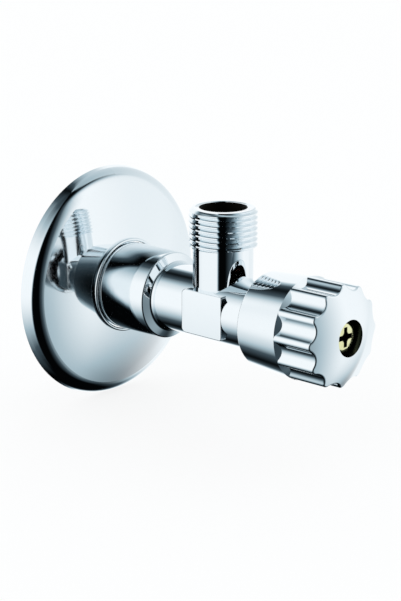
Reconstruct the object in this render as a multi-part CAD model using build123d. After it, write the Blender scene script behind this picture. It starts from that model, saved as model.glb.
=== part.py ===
from build123d import *

import os
from math import cos, radians, sin, sqrt

# Wall-mounted angle valve with a fluted handwheel, a rosette and a screw-down seat washer.
# The origin is on the inlet axis in the plane of the wall. +X runs out of the wall along the spindle
# towards the handwheel, and +Z runs up along the outlet. Lengths are in millimetres, every x is a
# distance from the wall, and the valve is drawn shut.

os.makedirs("parts", exist_ok=True)

# Rosette, a pressed sheet cover that hides the hole in the wall
rosette_d = 59.8
rosette_sheet = 0.8
rosette_crown_x = 7.9
rosette_dome_r = 105.0
rosette_rim_taper = 0.25
rosette_shoulder_r = 4.5
rosette_bead_r = 0.4
rosette_collar_height = 0.7
rosette_clearance = 0.1

# Inlet spigot, threaded G1/2, that goes into the wall
inlet_thread_d = 20.955
inlet_end_x = -13.0
inlet_chamfer = 1.0
inlet_bore_d = 13.0

# Boss and barrel of the body
boss_rear_x = 1.0
boss_rear_d = 22.4
boss_front_x = 23.1
boss_front_d = 21.9
boss_shoulder_length = 1.1
barrel_d = 17.0
barrel_front_x = 58.0
barrel_front_chamfer = 0.4

# Flat pads forged on the two sides of the barrel
pad_rear_x = 34.4
pad_length = 12.9
pad_height = 10.9
pad_proud = 0.08
pad_rear_corner_r = 1.3
pad_front_corner_r = 0.5
pad_edge_r = 0.25

# Outlet branch, threaded G3/8, with a socket for a hose nipple
outlet_x = 40.3
outlet_top_z = 25.1
outlet_thread_d = 16.662
outlet_thread_length = 9.6
outlet_thread_chamfer = 0.7
outlet_neck_d = 14.8
outlet_socket_d = 11.2
outlet_socket_depth = 11.0
outlet_mouth_d = 11.8
outlet_mouth_depth = 0.3
outlet_port_d = 8.4

# Seat and chamber inside the body
port_d = 8.0
port_rear_x = 29.5
seat_x = 33.0
seat_lip_d = 10.6
seat_lip_height = 1.4
chamber_d = 14.0
bonnet_thread_d = 14.5

# Bonnet, screwed into the barrel
bonnet_head_gap = 2.8
bonnet_pilot_length = 1.0
bonnet_pilot_clearance = 0.15
bonnet_thread_clearance = 0.025
gasket_thickness = 1.0
gasket_d = 16.6
bonnet_hex = 17.0
bonnet_hex_length = 4.5
bonnet_neck_d = 12.0
bonnet_neck_length = 3.5
hex_chamfer = 0.5
guide_hex = 10.2

# Piston with its seat washer, which the spindle draws along the axis without turning
piston_stroke = 4.2
piston_hex = 10.0
piston_end_inset = 5.5
piston_head_d = 13.0
piston_head_length = 2.5
piston_cup_wall = 0.4
piston_cup_depth = 1.8
piston_bore_clearance = 0.1
piston_floor = 1.3
seat_washer_d = 12.0
seat_washer_thickness = 3.0
washer_hole_clearance = 0.1
plate_d = 7.0
plate_thickness = 0.6
washer_screw_d = 4.0
washer_screw_head_d = 6.6
washer_screw_head_height = 1.6
washer_screw_slot = 1.0
washer_screw_length = 6.4
screw_hole_clearance = 0.04

# Spindle, which turns in the bonnet and doesn't rise
spindle_thread_d = 7.0
spindle_tip_gap = 0.3
spindle_tip_chamfer = 0.6
collar_gap = 0.3
collar_d = 9.8
collar_length = 2.0
thrust_washer_thickness = 0.6
thrust_clearance = 0.05
journal_d = 8.0
journal_clearance = 0.05
spindle_square = 6.0
spindle_square_corner_d = 7.6
spindle_square_length = 4.5
spindle_tapped_depth = 8.0

# O-rings on the spindle
o_ring_section = 1.5
o_ring_groove_width = 1.9
o_ring_groove_floor_d = 5.3
o_ring_clearance = 0.03
o_ring_inner_depth = 5.3
o_ring_outer_depth = 2.1

# Snap ring that keeps the spindle from being pushed in
clip_washer_thickness = 0.5
clip_washer_d = 11.4
clip_thickness = 0.8
clip_d = 10.4
clip_groove_d = 6.6
clip_gap_angle = 70.0
clip_clearance = 0.05

# Handwheel: a skirt that widens into the fluted grip, and a domed face
skirt_overlap = 3.0
skirt_length = 12.1
skirt_rear_d = 23.2
skirt_wall = 1.3
skirt_edge_r = 0.3
grip_d = 25.0
flute_count = 12
flute_depth = 1.4
ridge_r = 1.3
flute_end_slope = 0.73
face_dome_r = 31.0
face_edge_r = 0.6
grip_cavity_d = 17.2
grip_cavity_gap = 3.0
web_gap = 0.3
web_thickness = 1.1
cap_recess_d = 8.9
cap_recess_depth = 4.25
socket_clearance = 0.05

# Handwheel screw, M4 with a pan head and a cross recess
wheel_screw_d = 4.0
wheel_screw_head_d = 8.0
wheel_screw_head_height = 2.4
wheel_screw_length = 7.0
wheel_screw_hole_d = 4.4
cross_span = 4.8
cross_width = 1.25
cross_depth = 1.6


# Stations along the axis, from the seat and the barrel's front outwards
piston_head_front_x = seat_x + seat_washer_thickness + piston_head_length
piston_bore_floor_x = piston_head_front_x + piston_floor
piston_front_x = barrel_front_x - piston_end_inset
bonnet_rear_x = piston_head_front_x + piston_stroke + bonnet_head_gap
bonnet_thread_x = bonnet_rear_x + bonnet_pilot_length
flange_rear_x = barrel_front_x + gasket_thickness
flange_front_x = flange_rear_x + bonnet_hex_length
bonnet_front_x = flange_front_x + bonnet_neck_length
spindle_tip_x = piston_bore_floor_x + piston_stroke + spindle_tip_gap
collar_rear_x = piston_front_x + piston_stroke + collar_gap
collar_front_x = collar_rear_x + collar_length
thrust_shoulder_x = collar_front_x + thrust_washer_thickness + thrust_clearance
o_ring_inner_x = bonnet_front_x - o_ring_inner_depth
o_ring_outer_x = bonnet_front_x - o_ring_outer_depth
clip_groove_x = bonnet_front_x + clip_washer_thickness + clip_clearance
skirt_rear_x = barrel_front_x - skirt_overlap
grip_rear_x = skirt_rear_x + skirt_length
grip_cavity_front_x = bonnet_front_x + grip_cavity_gap
spindle_front_x = grip_cavity_front_x + spindle_square_length
web_rear_x = spindle_front_x + web_gap
web_front_x = web_rear_x + web_thickness
face_crown_x = web_front_x + cap_recess_depth

# Bore of the bonnet, in which the spindle turns
journal_bore_d = journal_d + 2 * journal_clearance


def turned(*points):
    """Solid of revolution about the valve axis, from (distance from the wall, radius) corners."""
    outline = Polyline(*[(x, 0, r) for x, r in points], close=True)
    return revolve(make_face(outline), Axis.X)


def tube(rear_x, front_x, outer_d, inner_d=0.0):
    """Plain cylinder or ring on the valve axis."""
    inner_r = inner_d / 2
    outer_r = outer_d / 2
    return turned((rear_x, inner_r), (rear_x, outer_r), (front_x, outer_r), (front_x, inner_r))


def prism(rear_x, front_x, sketch):
    """A cross-section drawn in (Y, Z), pulled along the valve axis."""
    across = Plane(origin=(rear_x, 0, 0), x_dir=(0, 1, 0), z_dir=(1, 0, 0))
    return across * extrude(sketch, front_x - rear_x)


def hexagon(across_flats):
    """Hexagon of the given width across its flats, with flats facing up and down."""
    return RegularPolygon(across_flats / 2, 6, major_radius=False, rotation=30)


def upright(bottom_z, top_z, bottom_d, top_d=None):
    """Cylinder or cone on the outlet axis."""
    top_d = bottom_d if top_d is None else top_d
    corners = [(0, bottom_z), (bottom_d / 2, bottom_z), (top_d / 2, top_z), (0, top_z)]
    outline = Polyline(*[(r, 0, z) for r, z in corners], close=True)
    return Pos(outlet_x, 0, 0) * revolve(make_face(outline), Axis.Z)


def torus(x, ring_r, section_r):
    """Ring of round section about the valve axis."""
    return Plane(origin=(x, 0, 0), z_dir=(1, 0, 0)) * Torus(ring_r, section_r)


def rosette_cap(inset):
    """Solid cap under the rosette's surface, taken in by a distance all round."""
    rim_r = rosette_d / 2 - inset * sqrt(1 + rosette_rim_taper**2)
    dome_r = rosette_dome_r - inset
    centre_x = rosette_crown_x - rosette_dome_r
    # The rim's slanted wall meets the dome where (x - centre_x)^2 + r^2 = dome_r^2
    a = 1 + rosette_rim_taper**2
    b = -2 * (centre_x + rim_r * rosette_rim_taper)
    c = centre_x**2 + rim_r**2 - dome_r**2
    corner_x = (-b + sqrt(b * b - 4 * a * c)) / (2 * a)
    corner_r = rim_r - rosette_rim_taper * corner_x
    crown_x = centre_x + dome_r
    half_r = corner_r / 2
    mid_x = centre_x + sqrt(dome_r**2 - half_r**2)
    outline = [
        Line((0, 0), (0, rim_r)),
        Line((0, rim_r), (corner_x, corner_r)),
        ThreePointArc((corner_x, corner_r), (mid_x, half_r), (crown_x, 0)),
        Line((crown_x, 0), (0, 0)),
    ]
    section = make_face(outline)
    shoulder = section.vertices().sort_by_distance((corner_x, corner_r))[0]
    section = fillet(shoulder, rosette_shoulder_r - inset)
    return revolve(Plane.XZ * section, Axis.X)


def rosette():
    hole_r = boss_rear_d / 2 + rosette_clearance
    bead_ring_r = hole_r + rosette_bead_r
    collar_r = hole_r + 2 * rosette_bead_r
    dome_centre_x = rosette_crown_x - rosette_dome_r
    foot_x = dome_centre_x + sqrt((rosette_dome_r - rosette_sheet) ** 2 - collar_r**2)
    bead_x = dome_centre_x + sqrt(rosette_dome_r**2 - collar_r**2) + rosette_collar_height
    shell = rosette_cap(0) - rosette_cap(rosette_sheet)
    shell -= tube(0, bead_x + rosette_bead_r, 2 * bead_ring_r)
    collar = make_face(
        [
            Line((foot_x, hole_r), (bead_x, hole_r)),
            ThreePointArc((bead_x, hole_r), (bead_x + rosette_bead_r, bead_ring_r), (bead_x, collar_r)),
            Line((bead_x, collar_r), (foot_x, collar_r)),
            Line((foot_x, collar_r), (foot_x, hole_r)),
        ]
    )
    return shell + revolve(Plane.XZ * collar, Axis.X)


def body_outside():
    inlet_r = inlet_thread_d / 2
    barrel_r = barrel_d / 2
    stem = turned(
        (inlet_end_x, 0),
        (inlet_end_x, inlet_r - inlet_chamfer),
        (inlet_end_x + inlet_chamfer, inlet_r),
        (boss_rear_x, inlet_r),
        (boss_rear_x, boss_rear_d / 2),
        (boss_front_x, boss_front_d / 2),
        (boss_front_x + boss_shoulder_length, barrel_r),
        (barrel_front_x - barrel_front_chamfer, barrel_r),
        (barrel_front_x, barrel_r - barrel_front_chamfer),
        (barrel_front_x, 0),
    )
    pad = Box(pad_length, barrel_d + 2 * pad_proud, pad_height)
    corners = pad.edges().filter_by(Axis.Y).group_by(Axis.X)
    pad = fillet(corners[0], pad_rear_corner_r)
    corners = pad.edges().filter_by(Axis.Y).group_by(Axis.X)
    pad = fillet(corners[-1], pad_front_corner_r)
    sides = pad.faces().filter_by(Axis.Y)
    pad = fillet(sides[0].edges() + sides[1].edges(), pad_edge_r)
    pad = Pos(pad_rear_x + pad_length / 2, 0, 0) * pad
    thread_foot_z = outlet_top_z - outlet_thread_length
    chamfer_z = outlet_top_z - outlet_thread_chamfer
    crest_d = outlet_thread_d - 2 * outlet_thread_chamfer
    branch = upright(0, thread_foot_z, outlet_neck_d)
    branch += upright(thread_foot_z, chamfer_z, outlet_thread_d)
    branch += upright(chamfer_z, outlet_top_z, outlet_thread_d, crest_d)
    return stem + pad + branch


def body():
    passage = turned(
        (inlet_end_x, 0),
        (inlet_end_x, inlet_bore_d / 2),
        (port_rear_x - (inlet_bore_d - port_d) / 2, inlet_bore_d / 2),
        (port_rear_x, port_d / 2),
        (seat_x, port_d / 2),
        (seat_x, seat_lip_d / 2),
        (seat_x - seat_lip_height, seat_lip_d / 2),
        (seat_x - seat_lip_height, chamber_d / 2),
        (bonnet_thread_x, chamber_d / 2),
        (bonnet_thread_x, bonnet_thread_d / 2),
        (barrel_front_x, bonnet_thread_d / 2),
        (barrel_front_x, 0),
    )
    socket_z = outlet_top_z - outlet_socket_depth
    mouth_z = outlet_top_z - outlet_mouth_depth
    branch_bore = upright(0, socket_z, outlet_port_d)
    branch_bore += upright(socket_z, outlet_top_z, outlet_socket_d)
    branch_bore += upright(mouth_z, outlet_top_z, outlet_socket_d, outlet_mouth_d)
    return body_outside() - passage - branch_bore


def bonnet():
    corner_r = bonnet_hex / sqrt(3)
    pilot_d = chamber_d - 2 * bonnet_pilot_clearance
    thread_d = bonnet_thread_d - 2 * bonnet_thread_clearance
    plug = tube(bonnet_rear_x, bonnet_thread_x, pilot_d)
    plug += tube(bonnet_thread_x, flange_rear_x, thread_d)
    flange = prism(flange_rear_x, flange_front_x, hexagon(bonnet_hex))
    flange &= turned(
        (flange_rear_x, 0),
        (flange_rear_x, corner_r),
        (flange_front_x - hex_chamfer, corner_r),
        (flange_front_x, corner_r - 2 * hex_chamfer),
        (flange_front_x, 0),
    )
    neck = tube(flange_front_x, bonnet_front_x, bonnet_neck_d)
    guide = prism(bonnet_rear_x, thrust_shoulder_x, hexagon(guide_hex))
    bore = tube(bonnet_rear_x, bonnet_front_x, journal_bore_d)
    return plug + flange + neck - guide - bore


def bonnet_gasket():
    return tube(barrel_front_x, flange_rear_x, gasket_d, bonnet_thread_d)


def piston():
    head_rear_x = seat_x + seat_washer_thickness
    cup_inner_d = piston_head_d - 2 * piston_cup_wall
    head = tube(head_rear_x, piston_head_front_x, piston_head_d)
    cup = tube(head_rear_x - piston_cup_depth, head_rear_x, piston_head_d, cup_inner_d)
    shank = prism(piston_head_front_x, piston_front_x, hexagon(piston_hex))
    thread_bore_d = spindle_thread_d + 2 * piston_bore_clearance
    screw_bore_d = washer_screw_d + 2 * screw_hole_clearance
    thread_bore = tube(piston_bore_floor_x, piston_front_x, thread_bore_d)
    screw_bore = tube(head_rear_x, piston_bore_floor_x, screw_bore_d)
    return head + cup + shank - thread_bore - screw_bore


def seat_washer():
    hole_d = washer_screw_d + 2 * washer_hole_clearance
    return tube(seat_x, seat_x + seat_washer_thickness, seat_washer_d, hole_d)


def seat_washer_plate():
    hole_d = washer_screw_d + 2 * washer_hole_clearance
    return tube(seat_x - plate_thickness, seat_x, plate_d, hole_d)


def seat_washer_screw():
    head_front_x = seat_x - plate_thickness
    head_rear_x = head_front_x - washer_screw_head_height
    screw = tube(head_rear_x, head_front_x, washer_screw_head_d)
    screw += tube(head_front_x, head_front_x + washer_screw_length, washer_screw_d)
    slot_depth = washer_screw_head_height / 2
    slot = Box(slot_depth, washer_screw_head_d * 2, washer_screw_slot)
    return screw - Pos(head_rear_x + slot_depth / 2, 0, 0) * slot


def spindle():
    thread_r = spindle_thread_d / 2
    journal_r = journal_d / 2
    shaft = turned(
        (spindle_tip_x, 0),
        (spindle_tip_x, thread_r - spindle_tip_chamfer),
        (spindle_tip_x + spindle_tip_chamfer, thread_r),
        (collar_rear_x, thread_r),
        (collar_rear_x, collar_d / 2),
        (collar_front_x, collar_d / 2),
        (collar_front_x, journal_r),
        (grip_cavity_front_x, journal_r),
        (grip_cavity_front_x, 0),
    )
    end = Rectangle(spindle_square, spindle_square) & Circle(spindle_square_corner_d / 2)
    shaft += prism(grip_cavity_front_x, spindle_front_x, end)
    half = o_ring_groove_width / 2
    for x in (o_ring_inner_x, o_ring_outer_x):
        shaft -= tube(x - half, x + half, journal_bore_d, o_ring_groove_floor_d)
    clip_groove_front_x = clip_groove_x + clip_thickness + 2 * clip_clearance
    shaft -= tube(clip_groove_x, clip_groove_front_x, journal_bore_d, clip_groove_d)
    tapped_d = wheel_screw_d + 2 * screw_hole_clearance
    return shaft - tube(spindle_front_x - spindle_tapped_depth, spindle_front_x, tapped_d)


def spindle_o_ring(x):
    bore_r = journal_bore_d / 2
    floor_r = o_ring_groove_floor_d / 2
    section_r = min(o_ring_section, bore_r - floor_r - 2 * o_ring_clearance) / 2
    return torus(x, bore_r - o_ring_clearance - section_r, section_r)


def thrust_washer():
    rear_x = collar_front_x + thrust_clearance / 2
    return tube(rear_x, rear_x + thrust_washer_thickness, collar_d, journal_bore_d)


def clip_washer():
    front_x = bonnet_front_x + clip_washer_thickness
    return tube(bonnet_front_x, front_x, clip_washer_d, journal_bore_d)


def snap_ring():
    rear_x = clip_groove_x + clip_clearance
    ring = tube(rear_x, rear_x + clip_thickness, clip_d, clip_groove_d + 2 * clip_clearance)
    across = clip_d * sin(radians(clip_gap_angle / 2))
    down = clip_d * cos(radians(clip_gap_angle / 2))
    wedge = make_face(Polyline((0, 0), (across, -down), (-across, -down), close=True))
    return ring - prism(rear_x, rear_x + clip_thickness, wedge)


def grip_outline():
    """Cross-section of the grip: hollow flutes and round ridges, each arc tangent to the next."""
    step = radians(360 / flute_count)
    floor_r = grip_d / 2 - flute_depth
    ridge_ring = grip_d / 2 - ridge_r
    # The flute's radius makes the two centres exactly two radii apart
    lean = ridge_ring * cos(step / 2)
    apart = floor_r**2 + ridge_ring**2 - 2 * floor_r * lean
    flute_r = (apart - ridge_r**2) / (2 * (ridge_r + lean - floor_r))
    flute_ring = floor_r + flute_r

    def polar(radius, angle):
        return Vector(radius * cos(angle), radius * sin(angle))

    arcs = []
    for i in range(flute_count):
        ridge = polar(ridge_ring, i * step)
        flute = polar(flute_ring, (i + 0.5) * step)
        next_ridge = polar(ridge_ring, (i + 1) * step)
        before = polar(flute_ring, (i - 0.5) * step)
        start = ridge + (before - ridge).normalized() * ridge_r
        middle = ridge + (flute - ridge).normalized() * ridge_r
        end = next_ridge + (flute - next_ridge).normalized() * ridge_r
        arcs.append(ThreePointArc(start, polar(grip_d / 2, i * step), middle))
        arcs.append(ThreePointArc(middle, polar(floor_r, (i + 0.5) * step), end))
    return make_face(arcs)


def handwheel():
    grip_r = grip_d / 2
    floor_r = grip_d / 2 - flute_depth
    skirt = turned(
        (skirt_rear_x, 0),
        (skirt_rear_x, skirt_rear_d / 2),
        (grip_rear_x, grip_r),
        (grip_rear_x + flute_end_slope * (grip_r - floor_r), floor_r),
        (grip_rear_x + flute_end_slope * (grip_r - floor_r), 0),
    )
    skirt = fillet(skirt.edges().sort_by(Axis.X)[0], skirt_edge_r)
    face_centre_x = face_crown_x - face_dome_r
    dome = Pos(face_centre_x, 0, 0) * Sphere(face_dome_r)
    grip = prism(grip_rear_x, face_crown_x, grip_outline()) & dome
    face = grip.faces().sort_by(Axis.X)[-1]
    grip = fillet(face.edges(), face_edge_r)
    wheel = skirt + grip
    skirt_inner_d = skirt_rear_d - 2 * skirt_wall
    wheel -= tube(skirt_rear_x, grip_rear_x - skirt_wall / 2, skirt_inner_d)
    wheel -= tube(skirt_rear_x, grip_cavity_front_x, grip_cavity_d)
    side = spindle_square + 2 * socket_clearance
    socket = Rectangle(side, side) & Circle(spindle_square_corner_d / 2 + socket_clearance)
    wheel -= prism(grip_cavity_front_x, web_rear_x, socket)
    wheel -= tube(web_rear_x, web_front_x, wheel_screw_hole_d)
    return wheel - tube(web_front_x, face_crown_x, cap_recess_d)


def handwheel_screw():
    head_front_x = web_front_x + wheel_screw_head_height
    screw = tube(web_front_x, head_front_x, wheel_screw_head_d)
    screw = fillet(screw.edges().sort_by(Axis.X)[-1], wheel_screw_head_height / 2)
    screw += tube(web_front_x - wheel_screw_length, web_front_x, wheel_screw_d)
    cross = Rectangle(cross_span, cross_width) + Rectangle(cross_width, cross_span)
    return screw - prism(head_front_x - cross_depth, head_front_x, cross)


nodes = {
    "body": body(),
    "rosette": rosette(),
    "bonnet": bonnet(),
    "bonnet_gasket": bonnet_gasket(),
    "clip_washer": clip_washer(),
    "thrust_washer": thrust_washer(),
    "spindle": spindle(),
    "spindle_o_ring_inner": spindle_o_ring(o_ring_inner_x),
    "spindle_o_ring_outer": spindle_o_ring(o_ring_outer_x),
    "snap_ring": snap_ring(),
    "piston": piston(),
    "seat_washer": seat_washer(),
    "seat_washer_plate": seat_washer_plate(),
    "seat_washer_screw": seat_washer_screw(),
    "handwheel": handwheel(),
    "handwheel_screw": handwheel_screw(),
}

for name, solid in nodes.items():
    export_step(solid, f"parts/{name}.step")
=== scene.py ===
import math

import bmesh
import bpy
import numpy as np
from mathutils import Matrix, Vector


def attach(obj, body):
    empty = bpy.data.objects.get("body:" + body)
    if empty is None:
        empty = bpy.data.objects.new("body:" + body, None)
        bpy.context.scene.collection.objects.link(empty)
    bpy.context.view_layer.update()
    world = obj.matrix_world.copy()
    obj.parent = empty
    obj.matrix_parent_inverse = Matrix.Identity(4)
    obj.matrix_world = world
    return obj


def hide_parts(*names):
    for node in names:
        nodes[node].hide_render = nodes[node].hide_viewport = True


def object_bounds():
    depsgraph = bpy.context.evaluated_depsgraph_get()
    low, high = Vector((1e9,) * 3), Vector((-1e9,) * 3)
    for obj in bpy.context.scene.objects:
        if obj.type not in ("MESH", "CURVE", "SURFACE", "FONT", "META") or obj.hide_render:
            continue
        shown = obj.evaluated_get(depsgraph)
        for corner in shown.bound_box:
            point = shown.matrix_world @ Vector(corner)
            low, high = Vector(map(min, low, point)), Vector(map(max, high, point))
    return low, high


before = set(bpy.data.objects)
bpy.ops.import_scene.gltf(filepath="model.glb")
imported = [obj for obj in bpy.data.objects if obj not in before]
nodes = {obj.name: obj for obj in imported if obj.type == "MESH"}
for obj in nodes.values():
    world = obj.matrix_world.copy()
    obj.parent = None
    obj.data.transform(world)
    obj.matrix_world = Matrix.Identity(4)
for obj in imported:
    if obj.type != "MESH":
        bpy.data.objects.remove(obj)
cad_low, cad_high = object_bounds()


# Body: a hot brass forging, turned, threaded and chrome-plated outside. Its inlet screws into the wall,
# its barrel takes the bonnet, and its outlet stands up with a pipe thread for the hose's union nut.
def linear(code):
    """Linear RGBA of an sRGB hex colour."""
    parts = [int(code[i : i + 2], 16) / 255 for i in (1, 3, 5)]
    return [c / 12.92 if c <= 0.04045 else ((c + 0.055) / 1.055) ** 2.4 for c in parts] + [1.0]


def add(tree, kind, inputs=None, **settings):
    """Adds a node with its settings. An input gets a value, or a link where a socket is given."""
    node = tree.nodes.new(kind)
    for name, value in settings.items():
        setattr(node, name, value)
    for name, value in (inputs or {}).items():
        if isinstance(value, bpy.types.NodeSocket):
            tree.links.new(value, node.inputs[name])
        else:
            node.inputs[name].default_value = value
    return node


def new_material(name, **values):
    """Starts a material. Returns it with its tree, its shader and its object coordinates."""
    made = bpy.data.materials.new(name)
    made.use_nodes = True
    tree = made.node_tree
    shader = tree.nodes["Principled BSDF"]
    for key, value in values.items():
        shader.inputs[key.replace("_", " ")].default_value = value
    return made, tree, shader, add(tree, "ShaderNodeTexCoord").outputs["Object"]


# Most of a noise texture lies between these
noise_low, noise_high = 0.3, 0.7


def chrome_plate(name, wave_mm, wave, haziest):
    """Bright chrome plate: a cold mirror with a breath of handling haze, and the slight waviness that
    polishing leaves in the metal under it, which bends what it mirrors."""
    made, tree, shader, place = new_material(name, Metallic=1.0, Base_Color=linear("#EDF3F6"))
    haze_mm = 7.0
    wave_depth = 0.0001
    haze = add(tree, "ShaderNodeTexNoise", {"Vector": place, "Scale": 1000 / haze_mm, "Detail": 4.0})
    rough = add(
        tree,
        "ShaderNodeMapRange",
        {
            "Value": haze.outputs["Fac"],
            "From Min": noise_low,
            "From Max": noise_high,
            "To Min": 0.3 * haziest,
            "To Max": haziest,
        },
    )
    tree.links.new(rough.outputs["Result"], shader.inputs["Roughness"])
    waves = add(tree, "ShaderNodeTexNoise", {"Vector": place, "Scale": 1000 / wave_mm, "Detail": 2.0})
    bump = add(
        tree,
        "ShaderNodeBump",
        {"Height": waves.outputs["Fac"], "Strength": wave, "Distance": wave_depth},
    )
    tree.links.new(bump.outputs["Normal"], shader.inputs["Normal"])
    return made


def painted_shade_metal(name, dark, light, rough):
    """Bare metal inside a casting or a bore, never polished, with a fine crust and a mottle of water
    stains. Its colour is drawn nearly black as painted shade for the dark hollow it lies in."""
    made, tree, shader, place = new_material(name, Metallic=1.0, Roughness=rough)
    stain_mm = 1.5
    crust_depth = 0.00005
    stain = add(tree, "ShaderNodeTexNoise", {"Vector": place, "Scale": 1000 / stain_mm, "Detail": 5.0})
    tint = add(
        tree,
        "ShaderNodeMixRGB",
        {"Fac": stain.outputs["Fac"], "Color1": linear(dark), "Color2": linear(light)},
    )
    tree.links.new(tint.outputs["Color"], shader.inputs["Base Color"])
    bump = add(
        tree,
        "ShaderNodeBump",
        {"Height": stain.outputs["Fac"], "Strength": 0.3, "Distance": crust_depth},
    )
    tree.links.new(bump.outputs["Normal"], shader.inputs["Normal"])
    return made


def pipe_thread_group():
    """Cuts a pipe thread: a groove of trapezoid section, swept along a helix, is taken from the piece."""
    tree = bpy.data.node_groups.new("pipe_thread", "GeometryNodeTree")
    tree.interface.new_socket("Geometry", in_out="INPUT", socket_type="NodeSocketGeometry")
    for name in ("Pitch", "Root Radius", "Depth", "Turns", "Root Width", "Crest Width"):
        tree.interface.new_socket(name, in_out="INPUT", socket_type="NodeSocketFloat")
    for name in ("Start", "Rotation"):
        tree.interface.new_socket(name, in_out="INPUT", socket_type="NodeSocketVector")
    tree.interface.new_socket("Finish", in_out="INPUT", socket_type="NodeSocketMaterial")
    tree.interface.new_socket("Geometry", in_out="OUTPUT", socket_type="NodeSocketGeometry")
    given = tree.nodes.new("NodeGroupInput").outputs
    height = add(tree, "ShaderNodeMath", {0: given["Pitch"], 1: given["Turns"]}, operation="MULTIPLY")
    middle = add(
        tree,
        "ShaderNodeMath",
        {0: given["Depth"], 1: 0.5, 2: given["Root Radius"]},
        operation="MULTIPLY_ADD",
    )
    helix = add(
        tree,
        "GeometryNodeCurveSpiral",
        {
            "Resolution": 72,
            "Rotations": given["Turns"],
            "Height": height.outputs[0],
            "Start Radius": middle.outputs[0],
            "End Radius": middle.outputs[0],
        },
    )
    upright = add(tree, "GeometryNodeSetCurveNormal", {"Curve": helix.outputs["Curve"]}, mode="Z_UP")
    groove = add(
        tree,
        "GeometryNodeCurvePrimitiveQuadrilateral",
        {
            "Bottom Width": given["Crest Width"],
            "Top Width": given["Root Width"],
            "Height": given["Depth"],
            "Offset": 0.0,
        },
        mode="TRAPEZOID",
    )
    inward = add(
        tree,
        "GeometryNodeTransform",
        {"Geometry": groove.outputs["Curve"], "Rotation": (0, 0, -math.pi / 2)},
    )
    sweep = add(
        tree,
        "GeometryNodeCurveToMesh",
        {"Curve": upright.outputs["Curve"], "Profile Curve": inward.outputs["Geometry"], "Fill Caps": True},
    )
    place = add(
        tree,
        "GeometryNodeTransform",
        {"Geometry": sweep.outputs["Mesh"], "Translation": given["Start"], "Rotation": given["Rotation"]},
    )
    cut = add(
        tree,
        "GeometryNodeMeshBoolean",
        {"Mesh 1": given["Geometry"], "Mesh 2": place.outputs["Geometry"]},
        operation="DIFFERENCE",
        solver="EXACT",
    )
    real = add(tree, "GeometryNodeRealizeInstances", {"Geometry": cut.outputs["Mesh"]})
    finish = add(
        tree,
        "GeometryNodeSetMaterial",
        {"Geometry": real.outputs["Geometry"], "Material": given["Finish"]},
    )
    add(tree, "NodeGroupOutput", {"Geometry": finish.outputs["Geometry"]})
    return tree


def merged_copy(node, name):
    """Copy of a CAD node with its loose triangles joined and its smooth normals kept."""
    join_distance = 0.000002
    mesh = node.data.copy()
    normals = [corner.vector.copy() for corner in mesh.corner_normals]
    joined = bmesh.new()
    joined.from_mesh(mesh)
    bmesh.ops.remove_doubles(joined, verts=joined.verts, dist=join_distance)
    joined.to_mesh(mesh)
    joined.free()
    if len(mesh.loops) == len(normals):
        mesh.normals_split_custom_set(normals)
    mesh.materials.clear()
    piece = bpy.data.objects.new(name, mesh)
    bpy.context.scene.collection.objects.link(piece)
    return piece


forged_chrome = chrome_plate("chrome_on_forged_brass", wave_mm=5.0, wave=0.1, haziest=0.05)
# Brass of the bores, the bonnet and the screw's recess, drawn nearly black as painted shade of the hollows
# it lies in
brass_in_painted_shade = painted_shade_metal("brass_bore_painted_shade", "#0B0A08", "#17140F", rough=0.65)

outlet_x = 0.0403
outlet_top_z = 0.0251
neck_top_z = 0.0154
root_r, branch_r = 0.0075, 0.0084
socket_r = 0.0059
rim_inner_r, rim_outer_r = 0.0062, 0.00763
rim_inner_lean, rim_outer_lean = math.radians(75), math.radians(20)
barrel_r = 0.0085
pad_rear_x, pad_front_x = 0.0344, 0.0473
bore_r = 0.0073
body = merged_copy(nodes["body"], "body_threaded")

# Points closer together than this count as one
hair = 0.00001

# The boss's front edge is worn round by polishing, and the tool left a small round at the shoulder's foot.
# Each round is cut into the mesh as three rings, and its middle ring is pulled off the old corner.
boss_front_x, boss_front_r = 0.0231, 0.01095
boss_tilt = 0.011
shoulder_length = 0.0011
shoulder_x = boss_front_x + shoulder_length
edge_round, foot_round = 0.0004, 0.0006
shoulder_tilt = math.atan2(boss_front_r - barrel_r, shoulder_x - boss_front_x)
half_tilt = shoulder_tilt / 2
pull = 0.5 * math.tan(half_tilt / 2)
ring_x = (
    boss_front_x - edge_round,
    boss_front_x,
    boss_front_x + edge_round * math.cos(shoulder_tilt),
    shoulder_x - foot_round * math.cos(shoulder_tilt),
    shoulder_x,
    shoulder_x + foot_round,
)
ring_tilt = (boss_tilt, half_tilt, shoulder_tilt, shoulder_tilt, half_tilt, 0.0)
rounded = bmesh.new()
rounded.from_mesh(body.data)
for x in ring_x:
    whole = rounded.verts[:] + rounded.edges[:] + rounded.faces[:]
    bmesh.ops.bisect_plane(rounded, geom=whole, plane_co=(x, 0, 0), plane_no=(1, 0, 0))
corners = ((boss_front_x, boss_front_r, -edge_round), (shoulder_x, barrel_r, foot_round))
for vertex in rounded.verts:
    off_axis = math.hypot(vertex.co.y, vertex.co.z)
    for x, radius, length in corners:
        if abs(vertex.co.x - x) < hair and abs(off_axis - radius) < hair:
            out = Vector((0, vertex.co.y, vertex.co.z)) / off_axis
            bisector = out * math.cos(half_tilt) + Vector((1, 0, 0)) * math.sin(half_tilt)
            vertex.co += bisector * length * pull
rounded.to_mesh(body.data)
rounded.free()

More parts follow.
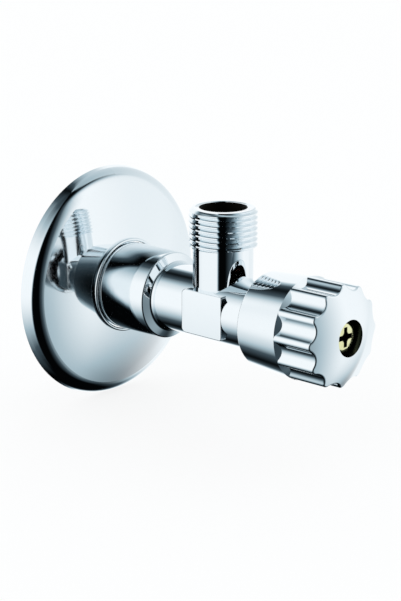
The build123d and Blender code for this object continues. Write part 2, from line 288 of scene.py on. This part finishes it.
# Pipe threads: G3/8 on the outlet and G1/2 on the inlet
pipe_thread = pipe_thread_group()
flank = math.tan(math.radians(27.5))
depth_per_pitch, root_per_pitch = 0.6403, 0.1
past_crest = 0.0001
for pitch, crest_d, turns, start, rotation in (
    (0.001337, 0.016662, 9.5, (outlet_x, 0, 0.0141), (0, 0, 0)),
    (0.001814, 0.020955, 8.5, (0.0009, 0, 0), (0, -math.pi / 2, 0)),
):
    depth = depth_per_pitch * pitch
    root_width = root_per_pitch * pitch
    sizes = {
        "Pitch": pitch,
        "Root Radius": crest_d / 2 - depth,
        "Depth": depth + past_crest,
        "Turns": turns,
        "Root Width": root_width,
        "Crest Width": root_width + 2 * flank * (depth + past_crest),
        "Start": start,
        "Rotation": rotation,
        "Finish": forged_chrome,
    }
    modifier = body.modifiers.new("pipe_thread", "NODES")
    modifier.node_group = pipe_thread
    for socket in pipe_thread.interface.items_tree:
        if socket.name in sizes:
            modifier[socket.identifier] = sizes[socket.name]
bpy.context.view_layer.update()
threaded = bpy.data.meshes.new_from_object(body.evaluated_get(bpy.context.evaluated_depsgraph_get()))
body.modifiers.clear()
body.data = threaded
threaded.materials.clear()
threaded.materials.append(forged_chrome)
threaded.materials.append(brass_in_painted_shade)
threaded.shade_smooth()
threaded.set_sharp_from_angle(angle=math.radians(25))

# Every outside face but the pads' is turned about the inlet's axis or the outlet's, so its normals are too.
# A face that looks along its axis by more than flat is square to it. Polishing has left the outlet's rim
# round.
flat = 0.9
normals = [Vector((0, 0, 0))] * len(threaded.loops)
for face in threaded.polygons:
    middle, facing = face.center, face.normal
    off_axis = math.hypot(middle.y, middle.z)
    off_outlet = math.hypot(middle.x - outlet_x, middle.y)
    in_socket = off_outlet < socket_r and 0 < middle.z < outlet_top_z - hair
    # Faces in the bore and in the outlet's socket take the brass drawn nearly black, as painted shade
    if off_axis < bore_r or in_socket:
        face.material_index = 1
        continue
    if abs(middle.y) > barrel_r + hair and pad_rear_x < middle.x < pad_front_x:
        continue
    on_branch = middle.z > 0 and off_axis > barrel_r + hair and off_outlet < branch_r
    axis = Vector((0, 0, 1)) if on_branch else Vector((1, 0, 0))
    centre = Vector((outlet_x, 0, 0)) if on_branch else Vector((0, 0, 0))
    along = facing.dot(axis)
    on_neck = on_branch and abs(along) < flat and middle.z < neck_top_z and off_outlet < root_r
    on_barrel = abs(off_axis - barrel_r) < 2 * hair and abs(along) < flat
    on_rim = on_branch and along > flat and middle.z > neck_top_z
    on_shoulder = not on_branch and ring_x[0] < middle.x < ring_x[-1]
    if on_neck or on_barrel:
        along = 0.0
    for loop in face.loop_indices:
        out = threaded.vertices[threaded.loops[loop].vertex_index].co - centre
        if on_shoulder:
            along = math.sin(np.interp(out.x, ring_x, ring_tilt))
        out -= axis * out.dot(axis)
        if on_rim:
            lean = np.interp(out.length, (rim_inner_r, rim_outer_r), (-rim_inner_lean, rim_outer_lean))
            normals[loop] = axis * math.cos(lean) + out.normalized() * math.sin(lean)
        else:
            side = math.copysign(math.sqrt(max(0.0, 1 - along * along)), facing.dot(out))
            normals[loop] = (axis * along + out.normalized() * side).normalized()
threaded.normals_split_custom_set(normals)
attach(body, "body")
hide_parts("body")

# Rosette: a cover pressed from brass sheet and chrome-plated, with its hole's edge rolled into a bead.
# It slides along the boss up to the wall and hides the hole there.
sheet_chrome = chrome_plate("chrome_on_brass_sheet", wave_mm=14.0, wave=0.12, haziest=0.08)
nodes["rosette"].material_slots[0].material = sheet_chrome


# Bonnet and the rings on it: a six-sided brass nut screwed into the barrel on a fibre gasket, under the
# handwheel's skirt. Two slip rings of white plastic carry the spindle's thrust.
def turned_brass(name, light, dark, ring_mm, roughest):
    """Turned brass: warm and half bright, with the fine rings that the tool leaves round the axis, drawn
    coarser than they are so that they show."""
    made, tree, shader, place = new_material(name, Metallic=1.0)
    patch_mm = 2.0
    ring_depth = 0.00002
    wave_length = math.tau / 20  # of the wave texture at a scale of 1
    patch = add(tree, "ShaderNodeTexNoise", {"Vector": place, "Scale": 1000 / patch_mm, "Detail": 4.0})
    tint = add(
        tree,
        "ShaderNodeMixRGB",
        {"Fac": patch.outputs["Fac"], "Color1": linear(light), "Color2": linear(dark)},
    )
    tree.links.new(tint.outputs["Color"], shader.inputs["Base Color"])
    rough = add(
        tree,
        "ShaderNodeMapRange",
        {
            "Value": patch.outputs["Fac"],
            "From Min": noise_low,
            "From Max": noise_high,
            "To Min": 0.5 * roughest,
            "To Max": roughest,
        },
    )
    tree.links.new(rough.outputs["Result"], shader.inputs["Roughness"])
    rings = add(
        tree,
        "ShaderNodeTexWave",
        {"Vector": place, "Scale": 1000 * wave_length / ring_mm, "Distortion": 0.3},
        bands_direction="X",
    )
    bump = add(
        tree,
        "ShaderNodeBump",
        {"Height": rings.outputs["Fac"], "Strength": 0.15, "Distance": ring_depth},
    )
    tree.links.new(bump.outputs["Normal"], shader.inputs["Normal"])
    return made


def grained(name, dark, light, grain_mm, **values):
    """Rubber, fibre, plastic or spring steel: dull, with a fine grain from the mould or the mill."""
    made, tree, shader, place = new_material(name, **values)
    grain_depth = 0.00003
    grain = add(tree, "ShaderNodeTexNoise", {"Vector": place, "Scale": 1000 / grain_mm, "Detail": 6.0})
    tint = add(
        tree,
        "ShaderNodeMixRGB",
        {"Fac": grain.outputs["Fac"], "Color1": linear(dark), "Color2": linear(light)},
    )
    tree.links.new(tint.outputs["Color"], shader.inputs["Base Color"])
    bump = add(
        tree,
        "ShaderNodeBump",
        {"Height": grain.outputs["Fac"], "Strength": 0.25, "Distance": grain_depth},
    )
    tree.links.new(bump.outputs["Normal"], shader.inputs["Normal"])
    return made


bare_brass = turned_brass("turned_brass", "#B8964A", "#7A6230", ring_mm=0.0754, roughest=0.4)
slip_plastic = grained("white_slip_plastic", "#D9D8D2", "#EFEEEA", grain_mm=0.5, Roughness=0.35)
red_fibre = grained("red_fibre", "#5A2118", "#8A3A28", grain_mm=0.4, Roughness=0.8)
# The bonnet's brass is drawn nearly black as painted shade under the handwheel's skirt
nodes["bonnet"].material_slots[0].material = brass_in_painted_shade
nodes["bonnet_gasket"].material_slots[0].material = red_fibre
nodes["clip_washer"].material_slots[0].material = slip_plastic
nodes["thrust_washer"].material_slots[0].material = slip_plastic

# Spindle: turned brass with a left-hand thread, sealed in the bonnet by two rubber rings and kept there
# by a sprung steel ring in its groove.
rubber = grained("black_rubber", "#0E0E0F", "#1C1C1D", grain_mm=0.3, Roughness=0.65)
spring_steel = grained(
    "blued_spring_steel", "#3A3A3C", "#5A5A5C", grain_mm=0.2, Metallic=1.0, Roughness=0.35
)
nodes["spindle"].material_slots[0].material = bare_brass
nodes["spindle_o_ring_inner"].material_slots[0].material = rubber
nodes["spindle_o_ring_outer"].material_slots[0].material = rubber
nodes["snap_ring"].material_slots[0].material = spring_steel

# Piston: a six-sided brass shank that the spindle draws along, with the rubber seat washer held on its
# head by a small plate and a slotted screw.
nodes["piston"].material_slots[0].material = bare_brass
nodes["seat_washer"].material_slots[0].material = rubber
nodes["seat_washer_plate"].material_slots[0].material = bare_brass
nodes["seat_washer_screw"].material_slots[0].material = bare_brass

# Handwheel: a chrome-plated zinc casting with twelve hollow flutes, open and unplated inside its skirt.
# The skirt's inside is drawn nearly black and the screw's recess dark grey, both as painted shade.
# It sits on the spindle's square.
cavity_front_x = 0.0702
cavity_r = 0.0104
recess_r = 0.00446
wheel = merged_copy(nodes["handwheel"], "handwheel_plated")
for material in (
    chrome_plate("chrome_on_zinc_casting", wave_mm=6.0, wave=0.06, haziest=0.05),
    painted_shade_metal("bare_zinc_in_painted_shade", "#131415", "#222426", rough=0.6),
    painted_shade_metal("zinc_recess_in_painted_shade", "#2C2E2C", "#4A4C48", rough=0.22),
):
    wheel.data.materials.append(material)
# Faces inside the skirt and in the screw's recess take the dark finishes of painted shade
for face in wheel.data.polygons:
    off_axis = math.hypot(face.center.y, face.center.z)
    if off_axis < cavity_r and face.center.x < cavity_front_x:
        face.material_index = 1
    elif off_axis < recess_r:
        face.material_index = 2
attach(wheel, "handwheel")
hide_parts("handwheel")

# Handwheel screw: pale brass with a pan head and a cross recess, in the hole of the face. Round the recess
# a four-pointed star in the head's front is painted nearly black, as painted shade of the recess.
cross_r = 0.0026
cross_floor_x, head_front_x = 0.0767, 0.0783
star_r, star_power = 0.0027, 0.62
star_blur = 0.05
screw = merged_copy(nodes["handwheel_screw"], "handwheel_screw_head")
screw_brass = turned_brass("pale_brass_screw", "#F0F2CC", "#CFCF94", ring_mm=0.12566, roughest=0.16)

# The offsets across and up, each raised to star_power, add up to the same number all along the star's edge
tree = screw_brass.node_tree
shader = tree.nodes["Principled BSDF"]
place = add(tree, "ShaderNodeTexCoord").outputs["Object"]
split = add(tree, "ShaderNodeSeparateXYZ", {0: place}).outputs
reach = 0.0
for side in ("Y", "Z"):
    offset = add(tree, "ShaderNodeMath", {0: split[side]}, operation="ABSOLUTE").outputs[0]
    power = add(tree, "ShaderNodeMath", {0: offset, 1: star_power}, operation="POWER").outputs[0]
    reach = add(tree, "ShaderNodeMath", {0: reach, 1: power}, operation="ADD").outputs[0]
star_edge = star_r**star_power
outside_star_shade = add(
    tree,
    "ShaderNodeMapRange",
    {
        "Value": reach,
        "From Min": (1 - star_blur) * star_edge,
        "From Max": (1 + star_blur) * star_edge,
    },
)
brass = shader.inputs["Base Color"].links[0].from_socket
# Inside the star the brass is mixed to near black: painted shade of the cross recess
star_painted_shade = add(
    tree,
    "ShaderNodeMixRGB",
    {"Fac": outside_star_shade.outputs["Result"], "Color1": linear("#0B0A08"), "Color2": brass},
)
tree.links.new(star_painted_shade.outputs["Color"], shader.inputs["Base Color"])
screw.data.materials.append(screw_brass)
screw.data.materials.append(brass_in_painted_shade)
# Faces inside the cross recess take the brass drawn nearly black, as painted shade
for face in screw.data.polygons:
    in_cross = math.hypot(face.center.y, face.center.z) < cross_r
    if in_cross and cross_floor_x - hair < face.center.x < head_front_x - hair:
        face.material_index = 1
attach(screw, "handwheel")
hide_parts("handwheel_screw")

# Floor: a plain white paper sheet under the valve, which takes its soft shadow. The camera sees it nearly
# as bright as the paper behind, and the chrome mirrors the studio instead of it.
floor_z = cad_low[2] - 0.0002
floor_half = 6.0
paper_glow = 0.85
floor_mesh = bpy.data.meshes.new("floor")
floor_mesh.from_pydata(
    [(x * floor_half, y * floor_half, floor_z) for x, y in ((-1, -1), (1, -1), (1, 1), (-1, 1))],
    [],
    [(0, 1, 2, 3)],
)
floor = bpy.data.objects.new("floor", floor_mesh)
bpy.context.scene.collection.objects.link(floor)
white_paper, tree, shader, _ = new_material("white_floor", Base_Color=linear("#F4F5F5"), Roughness=0.9)
bare_white = add(tree, "ShaderNodeEmission", {"Color": linear("#FFFFFF"), "Strength": 1.0})
seen = add(tree, "ShaderNodeLightPath").outputs["Is Camera Ray"]
share = add(tree, "ShaderNodeMath", {0: seen, 1: paper_glow}, operation="MULTIPLY")
sheet = add(
    tree,
    "ShaderNodeMixShader",
    {0: share.outputs[0], 1: shader.outputs[0], 2: bare_white.outputs[0]},
)
tree.links.new(sheet.outputs[0], tree.nodes["Material Output"].inputs["Surface"])
floor_mesh.materials.append(white_paper)
floor.visible_glossy = False

# Key light: one wide soft light from above, for the floor and the dull pieces. It stays out of the chrome,
# which mirrors the card and the studio's walls.
key = bpy.data.objects.new("key", bpy.data.lights.new("key", "SUN"))
key.data.energy = 2.0
key.data.angle = math.radians(150)
key.visible_glossy = False
bpy.context.scene.collection.objects.link(key)


# Light card: a tall white card on the valve's right, lit so that it darkens towards its near end and its
# top and bottom. Only the chrome sees it.
def faded(tree, *edges):
    """Level that fades from 0 to 1 along each edge's value, from where it is dark to where it is bright."""
    level = 1.0
    for value, dark, bright in edges:
        fade = add(
            tree,
            "ShaderNodeMapRange",
            {"Value": value, "From Min": dark, "From Max": bright},
            interpolation_type="SMOOTHSTEP",
        )
        level = add(tree, "ShaderNodeMath", {0: level, 1: fade.outputs[0]}, operation="MULTIPLY").outputs[0]
    return level


def lit_white(tree, level):
    """Colour of a white card by how well it is lit: black, then cold greys, then white."""
    ramp = add(tree, "ShaderNodeValToRGB", {"Fac": level})
    shades = ramp.color_ramp.elements
    shades[0].color = linear("#030405")
    shades[1].color = linear("#FDFEFF")
    for position, colour in ((0.3, "#44525A"), (0.65, "#AFC1C9")):
        shades.new(position).color = linear(colour)
    return ramp.outputs["Color"]


brightness = 1.06
card_x = 0.154
card_near_y, card_far_y = -0.13, 0.6
card_half_height = 0.6
card_slant = 0.15
card_mesh = bpy.data.meshes.new("light_card")
card_mesh.from_pydata(
    [
        (card_x, card_near_y, -card_half_height),
        (card_x, card_far_y, -card_half_height),
        (card_x, card_far_y, card_half_height),
        (card_x, card_near_y, card_half_height),
    ],
    [],
    [(0, 1, 2, 3)],
)
lit_card, tree, _, place = new_material("lit_white_card")
split = add(tree, "ShaderNodeSeparateXYZ", {0: place}).outputs
slanted = add(
    tree,
    "ShaderNodeMath",
    {0: split["Z"], 1: card_slant, 2: split["Y"]},
    operation="MULTIPLY_ADD",
)
near_end = (slanted.outputs[0], -0.105, 0.08)
far_end = (split["Y"], 0.5, 0.05)
bottom = (split["Z"], -0.32, -0.03)
top = (split["Z"], 0.52, 0.15)
glow = add(
    tree,
    "ShaderNodeEmission",
    {"Color": lit_white(tree, faded(tree, near_end, bottom, top)), "Strength": brightness},
)
clear = add(tree, "ShaderNodeBsdfTransparent")
ended = add(
    tree,
    "ShaderNodeMixShader",
    {0: faded(tree, far_end), 1: clear.outputs[0], 2: glow.outputs[0]},
)
tree.links.new(ended.outputs[0], tree.nodes["Material Output"].inputs["Surface"])
card_mesh.materials.append(lit_card)
card = bpy.data.objects.new("light_card", card_mesh)
bpy.context.scene.collection.objects.link(card)
card.visible_camera = False
card.visible_diffuse = False
card.visible_shadow = False

# Studio: white walls left of the camera, behind the valve and low down at its left, placed by bearing and
# rise in degrees. The dark gaps between them and the card give the chrome its black bands.
world = bpy.data.worlds.new("studio")
bpy.context.scene.world = world
world.use_nodes = True
tree = world.node_tree
tree.nodes.clear()
direction = add(tree, "ShaderNodeTexCoord").outputs["Generated"]
split = add(tree, "ShaderNodeSeparateXYZ", {0: direction}).outputs
front = add(tree, "ShaderNodeMath", {0: split["Y"], 1: -1.0}, operation="MULTIPLY").outputs[0]
angles = []
for operation, sockets in (
    ("ARCTAN2", {0: split["X"], 1: front}),
    ("ARCTAN2", {0: split["X"], 1: split["Y"]}),
    ("ARCSINE", {0: split["Z"]}),
):
    angle = add(tree, "ShaderNodeMath", sockets, operation=operation).outputs[0]
    angles.append(add(tree, "ShaderNodeMath", {0: angle}, operation="DEGREES").outputs[0])
from_front, from_back, rise = angles
wall_lean = -0.2
leaning = add(tree, "ShaderNodeMath", {0: rise, 1: wall_lean, 2: from_front}, operation="MULTIPLY_ADD")
left_wall = ((from_front, -100, -44), (leaning.outputs[0], 31, 20), (rise, -82, -8), (rise, 100, 20))
back_wall = ((from_back, -88, -40), (from_back, 78, 26), (rise, -56, -32), (rise, 260, -60))
low_wall = ((from_front, -152, -122), (from_front, -50, -80), (rise, -42, -22), (rise, 45, 26))
walls = 0.0
for edges in (left_wall, back_wall, low_wall):
    walls = add(tree, "ShaderNodeMath", {0: walls, 1: faded(tree, *edges)}, operation="ADD").outputs[0]
studio = add(tree, "ShaderNodeBackground", {"Color": lit_white(tree, walls), "Strength": brightness})
plain = add(tree, "ShaderNodeBackground", {"Color": linear("#FFFFFF")})
seen = add(tree, "ShaderNodeLightPath").outputs["Is Camera Ray"]
surround = add(tree, "ShaderNodeMixShader", {0: seen, 1: studio.outputs[0], 2: plain.outputs[0]})
add(tree, "ShaderNodeOutputWorld", {"Surface": surround.outputs[0]})

# Camera: at the photograph's viewing angle, a little above the valve and in front of the handwheel, with a
# long lens.
azimuth, elevation = math.radians(42.57), math.radians(15.38)
target = Vector((0.03285, 0, 0.00036))
distance = 0.43934
away = Vector(
    (
        math.sin(azimuth) * math.cos(elevation),
        -math.cos(azimuth) * math.cos(elevation),
        math.sin(elevation),
    )
)
camera = bpy.data.objects.new("camera", bpy.data.cameras.new("camera"))
camera.location = target + distance * away
camera.rotation_euler = away.to_track_quat("Z", "Y").to_euler()
camera.data.lens = 106.37
bpy.context.scene.collection.objects.link(camera)
bpy.context.scene.camera = camera
bpy.context.scene.view_settings.view_transform = "Standard"
